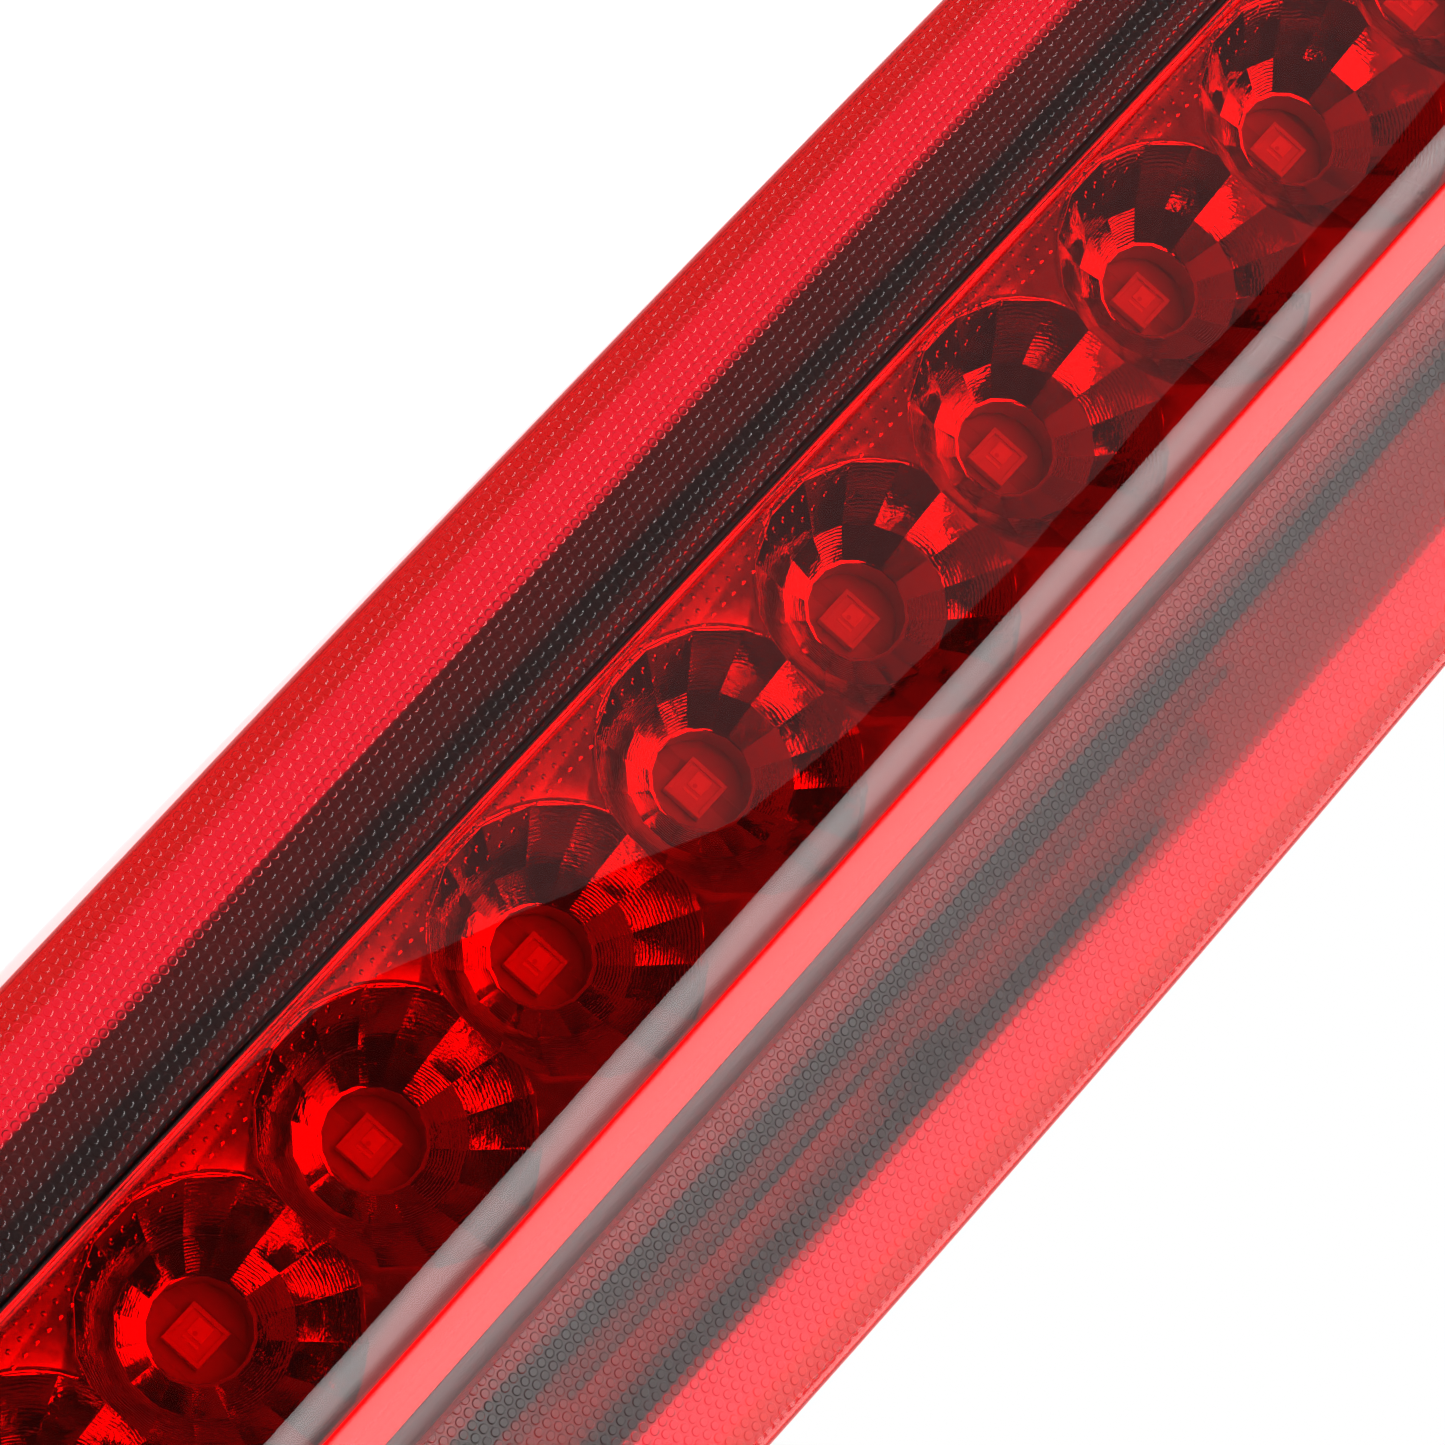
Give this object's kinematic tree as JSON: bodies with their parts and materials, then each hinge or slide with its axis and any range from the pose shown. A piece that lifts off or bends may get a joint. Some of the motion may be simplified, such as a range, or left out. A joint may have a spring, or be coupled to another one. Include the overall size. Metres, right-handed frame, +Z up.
{
  "type": "third brake light",
  "caption": "Long LED high-mount brake lamp with a red lens, a row of faceted reflector cups, a black housing, a foam gasket and two threaded studs.",
  "frame": {"origin": "middle of the centre mounting pad on the back of the housing, in the plane the lamp seats on", "axes": "+X along the lamp to the right seen from the lens side, -Y out of the lens, +Z up as mounted"},
  "size_m": [0.292, 0.0406, 0.0513],
  "materials": {
    "red_lens": "clear red acrylic, smooth window, fine raised round dots on the flanges",
    "black_housing": "fine-grained moulded black plastic",
    "metallised": "vacuum-metallised plastic, bright",
    "board": "white solder mask over glass epoxy",
    "led_package": "pale moulded package with clear silicone",
    "component": "black epoxy moulding",
    "tinned": "tin plated",
    "zinc_steel": "bright zinc plated",
    "foam": "closed-cell foam",
    "sealant": "cured black sealant",
    "silicone": "smooth silicone rubber"
  },
  "bodies": {
    "lamp_body": {"lens": "red_lens", "housing": "black_housing", "reflector": "metallised", "circuit_board": "board", "led_01": "led_package", "led_02": "led_package", "led_03": "led_package", "led_04": "led_package", "led_05": "led_package", "led_06": "led_package", "led_07": "led_package", "led_08": "led_package", "led_09": "led_package", "led_10": "led_package", "led_11": "led_package", "led_12": "led_package", "led_13": "led_package", "led_14": "led_package", "led_15": "led_package", "led_16": "led_package", "resistor_1": "component", "resistor_2": "component", "resistor_3": "component", "resistor_4": "component", "protection_diode": "component", "regulator": "component", "capacitor": "tinned", "sealant_bead_lower": "sealant", "sealant_bead_upper": "sealant", "sealant_run_outer": "sealant", "connector_socket": "black_housing", "terminal_left": "tinned", "terminal_right": "tinned", "connector_seal": "silicone", "rear_gasket": "foam", "stud_left": "zinc_steel", "stud_right": "zinc_steel", "reflector_screw_1": "zinc_steel", "reflector_screw_2": "zinc_steel", "reflector_screw_3": "zinc_steel", "reflector_screw_4": "zinc_steel", "vent_plug": "silicone"},
    "nut_left": {"nut_left": "zinc_steel"},
    "nut_right": {"nut_right": "zinc_steel"}
  },
  "joints": [
    {"name": "nut_left_turn", "type": "hinge", "parent": "lamp_body", "child": "nut_left", "pos_m": [-0.095, 0.0076, 0], "axis": [0, 1, 0], "continuous": true},
    {"name": "nut_right_turn", "type": "hinge", "parent": "lamp_body", "child": "nut_right", "pos_m": [0.095, 0.0076, 0], "axis": [0, 1, 0], "continuous": true}
  ]
}
